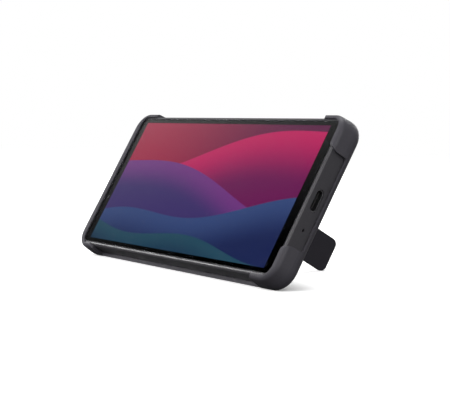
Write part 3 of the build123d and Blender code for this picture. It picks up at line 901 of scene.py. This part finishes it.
@dataclass
class ScreenFront:
    """The glass front: cover glass, printed border, lit display and front camera.

    Args:
        nodes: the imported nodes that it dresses.
        eye: the front camera's lens radius in millimetres.
        ring: the inner and outer radius of the ring round it.
        ring_edge: the width of the ring's softened edges.
        rise: how far the lens and the ring stand out.
    """

    nodes: tuple[str, ...] = ("cover_glass", "glass_border", "display_panel", "front_camera")
    eye: float = 0.5
    ring: Span = (0.56, 0.84)
    ring_edge: float = 0.03
    rise: float = 0.07

    def build(self, shop: Shop) -> None:
        """Dresses the front's solids and adds the front camera's lens and its ring.

        Args:
            shop: the axes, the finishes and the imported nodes.
        """
        shop.dress(self.nodes)
        low, high = shop.reach("front_camera")
        place = Vector(((low.x + high.x) / 2, (low.y + high.y) / 2, high.z))
        out = Vector((0.0, 0.0, 1.0))
        inner, outer = self.ring
        ring = Form()
        ring.turned([(inner, 0.0), (inner + self.ring_edge, self.rise),
                     (outer - self.ring_edge, self.rise), (outer, self.rise / 2),
                     (outer, 0.0)], place, out, steps=32)
        shop.add("front_camera_ring", ring, "surround_metal")
        lens = Form()
        lens.dome(self.eye, self.rise, place, out)
        shop.add("front_camera_lens", lens, "lens_coating", slot="lens_black")


@dataclass
class Controls:
    """The side keys and the card tray.

    Args:
        nodes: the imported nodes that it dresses.
    """

    nodes: tuple[str, ...] = ("power_key", "volume_rocker", "key_flex", "sim_tray",
                              "tray_seal", "sim_socket")

    def build(self, shop: Shop) -> None:
        """Dresses the keys and the tray."""
        shop.dress(self.nodes)


@dataclass
class Sockets:
    """The charging and audio sockets with their contacts.

    Args:
        nodes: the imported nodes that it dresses.
        pads: how many contact pads each side of the tongue has.
        pitch: the distance between them in millimetres.
        pad: a pad's length, width and thickness.
        pad_edge: the width of its softened edges.
        pad_inset: how far its middle lies behind the tongue's tip.
        pad_height: how far its middle lies from the tongue's middle plane.
    """

    nodes: tuple[str, ...] = ("port_shell", "port_tongue", "audio_socket", "microphones")
    pads: int = 12
    pitch: float = 0.5
    pad: Point = (3.2, 0.27, 0.05)
    pad_edge: float = 0.01
    pad_inset: float = 2.0
    pad_height: float = 0.35

    def build(self, shop: Shop) -> None:
        """Dresses the sockets and adds the charging socket's contact pads.

        Args:
            shop: the axes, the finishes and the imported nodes.
        """
        shop.dress(self.nodes)
        low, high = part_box("port_tongue")
        middle = shop.axes.middle("port_tongue")
        tip = middle.x + (high.x - low.x) / MM / 2
        pads = Form()
        for side in (-1, 1):
            for i in range(self.pads):
                y = middle.y + (i - (self.pads - 1) / 2) * self.pitch
                place = Vector((tip - self.pad_inset, y, middle.z + side * self.pad_height))
                pads.bar(self.pad, place, self.pad_edge)
        shop.add("port_contacts", pads, "port_steel")


@dataclass
class RearCameras:
    """The camera island: rim, glass, three cameras and the flash.

    Args:
        nodes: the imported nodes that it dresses.
        cameras: each camera's barrel radius in millimetres.
        bore: the bore's radius as a part of the barrel's.
        ring: the retaining ring's outer radius as a part of the barrel's.
        ring_slope: how far the ring's steps slope.
        lens: the lens's radius as a part of the bore's.
        bore_depth: how deep the bore is.
        bulge: how far the lens stands out in the bore, as a part of its depth.
        lip: how far the retaining rings stand out.
        flash: the flash lens's radii, one ridge each.
        flash_slope: how far each ridge slopes.
    """

    nodes: tuple[str, ...] = ("camera_surround", "camera_glass", "camera_wide", "camera_main",
                              "camera_far", "flash_lamp")
    cameras: tuple[tuple[str, float], ...] = (("camera_wide", 2.9), ("camera_main", 3.4),
                                              ("camera_far", 2.6))
    bore: float = 0.62
    ring: float = 0.86
    ring_slope: float = 0.1
    lens: float = 0.97
    bore_depth: float = 0.4
    bulge: float = 0.8
    lip: float = 0.06
    flash: tuple[float, ...] = (0.3, 0.55, 0.8, 1.05, 1.25)
    flash_slope: float = 0.04

    def face(self, shop: Shop, node: str) -> Vector:
        """Returns the middle of the outer face of a node under the island's glass."""
        low, high = shop.reach(node)
        return Vector(((low.x + high.x) / 2, (low.y + high.y) / 2, low.z))

    def camera(self, shop: Shop, node: str, radius: float, out: Vector) -> None:
        """Adds one camera's stepped retaining ring and the lens in its bore.

        Args:
            shop: the axes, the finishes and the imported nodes.
            node: the camera's node.
            radius: its barrel's radius.
            out: the unit direction out of the island.
        """
        face = self.face(shop, node)
        bore, outer = self.bore * radius, self.ring * radius
        step = (bore + outer) / 2
        ring = Form()
        ring.turned([(bore, -self.bore_depth), (bore, self.lip / 2),
                     (step - self.ring_slope, self.lip / 2), (step, self.lip),
                     (outer - self.ring_slope, self.lip), (outer, self.lip / 2),
                     (outer, 0.0)], face, out, steps=64)
        shop.add(f"{node}_ring", ring, "surround_metal")
        lens = Form()
        lens.dome(self.lens * self.bore * radius, self.bulge * self.bore_depth,
                  face - out * self.bore_depth, out)
        shop.add(f"{node}_lens", lens, "lens_coating", slot="lens_black")

    def build(self, shop: Shop) -> None:
        """Dresses the island's solids and adds the lenses, their rings and the flash lens.

        Args:
            shop: the axes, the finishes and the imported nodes.
        """
        shop.dress(self.nodes)
        out = Vector((0.0, 0.0, -1.0))
        for node, radius in self.cameras:
            self.camera(shop, node, radius, out)
        outline = [(0.0, self.lip)]
        for radius in self.flash:
            outline += [(radius - self.flash_slope, self.lip / 3), (radius, self.lip)]
        flash = Form()
        flash.turned([*outline, (self.flash[-1], 0.0)], self.face(shop, "flash_lamp"), out)
        shop.add("flash_lens", flash, "lamp_phosphor")


@dataclass
class Core:
    """What is inside the handset.

    Args:
        nodes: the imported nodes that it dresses.
    """

    nodes: tuple[str, ...] = ("chassis_plate", "screws", "battery", "battery_adhesive",
                              "main_board", "processor_shield", "radio_shield", "usb_board",
                              "loudspeaker", "vibration_motor", "joining_flex", "nfc_coil",
                              "earpiece", "display_foam", "display_flex")

    def build(self, shop: Shop) -> None:
        """Dresses the inner solids."""
        shop.dress(self.nodes)


# ------------------------------------------------------------------ the studio
@dataclass(frozen=True)
class Lamp:
    """A square soft lamp.

    Args:
        name: what it is called.
        place: where it hangs, in metres.
        size: its side in metres.
        power: its power in watts.
    """

    name: str
    place: Point
    size: float
    power: float

    def hang(self, aim: Vector) -> None:
        """Hangs the lamp.

        Args:
            aim: the point that it faces.
        """
        light = bpy.data.lights.new(self.name, "AREA")
        light.size = self.size
        light.energy = self.power
        lamp = placed(self.name, light)
        lamp.location = self.place
        lamp.rotation_euler = (aim - Vector(self.place)).to_track_quat("-Z", "Y").to_euler()


@dataclass
class Studio:
    """The floor, the lamps, the pale surroundings and the camera.

    Args:
        lens: the camera's focal length in millimetres.
        sensor: its sensor's width in millimetres.
        clip: the nearest and farthest that it sees, in metres.
        eye: where the camera stands, in handset millimetres.
        look: the direction that it looks in, in handset axes.
        right: the direction to its right, in handset axes.
        floor_radius: the floor's radius in metres.
        floor_paint: the floor's brightness as the camera sees it under the lamps.
        floor_bounce: its brightness as a source of light on the object.
        floor_mirrored: its brightness in a gloss or through glass.
        painted_shadow_reach: how near an object has to be to close a place's sky, in metres.
        painted_shadow_facing: the way that the sky of a place on the floor faces.
        painted_shadow_samples: how many rays measure that sky.
        painted_shadow_open: the shares of open sky between which the floor lightens.
        painted_shadow_glow: how much it glows to the camera at those shares.
        ambient: the surroundings' strength as a source of light.
        card_way: the way to the pale card that glosses and glass show above and behind.
        card_edge: the cosines to it between which the card begins.
        card_curve: the power with which it begins.
        card_end: the cosines to it between which the card dims again.
        card_dim: its strength before and after that.
        lamps: the soft lamps.
    """

    lens: float = 103.5
    sensor: float = 36.0
    clip: Span = (0.01, 20.0)
    eye: Point = (457.206, -115.592, 256.592)
    look: Point = (-0.84038428, 0.21480042, -0.49760933)
    right: Point = (0.53902633, 0.42713524, -0.72595186)
    floor_radius: float = 3.0
    floor_paint: float = 0.85
    floor_bounce: float = 0.07
    floor_mirrored: float = 0.08
    # The floor's painted contact shadow: the camera-only glow fades where an object near by
    # closes the sky.
    painted_shadow_reach: float = 0.035
    painted_shadow_facing: Point = (-0.48, -0.60, 0.64)
    painted_shadow_samples: int = 24
    painted_shadow_open: Span = (0.2, 0.64)
    painted_shadow_glow: Span = (0.0, 0.62)
    ambient: float = 0.45
    card_way: Point = (-0.0041, 0.9531, 0.3028)
    card_edge: Span = (-0.2306, -0.0656)
    card_curve: float = 2.0
    card_end: Span = (0.05, 0.4)
    card_dim: Span = (1.0, 0.3)
    lamps: tuple[Lamp, ...] = (
        # name, place, size, power
        Lamp("overhead_soft_lamp", (-0.35, 0.4, 1.2), 0.7, 8.0),
        Lamp("front_soft_lamp", (-0.15, -1.07, 0.45), 0.5, 5.5),
        Lamp("high_front_lamp", (0.05, -0.95, 0.76), 0.4, 3.0),
        Lamp("side_soft_lamp", (1.1, -0.3, 0.3), 0.6, 4.9),
        Lamp("back_soft_lamp", (-0.55, 1.15, 0.32), 0.6, 5.0),
        Lamp("low_edge_card", (-0.84, -0.54, 0.10), 0.22, 2.4))

    def camera(self, axes: Axes) -> None:
        """Makes the camera.

        Args:
            axes: the handset's axes.
        """
        data = bpy.data.cameras.new("studio_camera")
        data.lens, data.sensor_width, data.sensor_fit = self.lens, self.sensor, "HORIZONTAL"
        data.clip_start, data.clip_end = self.clip
        camera = placed("studio_camera", data)
        right = axes.turn() @ Vector(self.right)
        back = -(axes.turn() @ Vector(self.look))
        frame = Matrix((right, back.cross(right), back)).transposed().to_4x4()
        camera.matrix_world = Matrix.Translation(axes.place() @ Vector(self.eye)) @ frame
        bpy.context.scene.camera = camera

    def floor_finish(self) -> bpy.types.Material:
        """Makes the floor's finish, which shows white and keeps the object's shadow.

        The lamps cast the wide soft shadow. The glow that only the camera sees fades where
        the object closes the sky. That is a painted contact shadow, and it leaves the narrow dark
        line along the object's foot.

        Returns:
            Its material.
        """
        material = bpy.data.materials.new("studio_floor")
        material.use_nodes = True
        desk = Desk(material.node_tree)
        desk.tree.nodes.remove(desk.tree.nodes["Principled BSDF"])
        seen, mirrored = desk.rays()
        tone = desk.blend(mirrored, [self.floor_bounce] * 3, [self.floor_mirrored] * 3)
        tone = desk.blend(seen, tone, [self.floor_paint] * 3)
        paint = desk.add("ShaderNodeBsdfDiffuse", {"Color": tone})
        # Painted contact shadow: ambient occlusion, with its sky leaned to the front and left,
        # fades the camera-only glow, so the dark falls behind the object and to its right.
        facing = desk.add("ShaderNodeCombineXYZ", dict(zip("XYZ", self.painted_shadow_facing)))
        open_sky_for_painted_shadow = desk.add("ShaderNodeAmbientOcclusion",
                            {"Distance": self.painted_shadow_reach, "Normal": facing.outputs[0]},
                            samples=self.painted_shadow_samples).outputs["AO"]
        lift = desk.math("MULTIPLY", seen,
                         desk.span(open_sky_for_painted_shadow, *self.painted_shadow_open, *self.painted_shadow_glow))
        glow = desk.add("ShaderNodeEmission", {"Color": (*WHITE, 1.0), "Strength": lift})
        both = desk.add("ShaderNodeAddShader", {0: paint.outputs[0], 1: glow.outputs[0]})
        desk.feed(desk.tree.nodes["Material Output"].inputs["Surface"], both.outputs[0])
        return material

    def floor(self) -> None:
        """Makes the round floor."""
        bm = bmesh.new()
        bmesh.ops.create_circle(bm, cap_ends=True, segments=96, radius=self.floor_radius)
        mesh = bpy.data.meshes.new("studio_floor")
        bm.to_mesh(mesh)
        bm.free()
        mesh.materials.append(self.floor_finish())
        floor = placed("studio_floor", mesh)

    def surroundings(self) -> None:
        """Makes the pale surroundings, which are dark towards the front for glosses and glass."""
        world = bpy.data.worlds.new("studio_world")
        bpy.context.scene.world = world
        world.use_nodes = True
        desk = Desk(world.node_tree)
        way = desk.add("ShaderNodeTexCoord").outputs["Generated"]
        card = desk.add("ShaderNodeVectorMath", {0: way, 1: self.card_way},
                        operation="DOT_PRODUCT").outputs["Value"]
        begun = desk.math("POWER", desk.span(card, *self.card_edge, smooth=False),
                          self.card_curve)
        shown = desk.math("MULTIPLY", begun, desk.span(card, *self.card_end, *self.card_dim))
        seen, mirrored = desk.rays()
        level = desk.between(seen, desk.between(mirrored, self.ambient, shown), 1.0)
        background = desk.tree.nodes["Background"]
        desk.feed(background.inputs["Color"], (*WHITE, 1.0))
        desk.feed(background.inputs["Strength"], level)

    def build(self, axes: Axes) -> None:
        """Makes the whole studio.

        Args:
            axes: the handset's axes.
        """
        self.floor()
        self.surroundings()
        for lamp in self.lamps:
            lamp.hang(axes.origin)
        self.camera(axes)
        bpy.context.scene.view_settings.view_transform = "Standard"


def main() -> None:
    """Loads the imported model, dresses it, adds the new pieces and sets up the studio."""
    logging.basicConfig(level=logging.INFO, format="%(name)s: %(message)s")
    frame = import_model()
    record = frame["record"]
    axes = Axes.from_record(record)
    slots = {part["node"]: part["material_slot"] for part in record["subparts"]}
    effects = Effects()
    shop = Shop(axes, frame["nodes"], slots)
    for finish in FINISHES:
        shop.materials[finish.slot] = finish.make(axes, effects)
    for group in (Cover(), Shell(), ScreenFront(), Controls(), Sockets(), RearCameras(),
                  Core()):
        group.build(shop)
    Studio().build(axes)


if __name__ == "__main__":
    main()
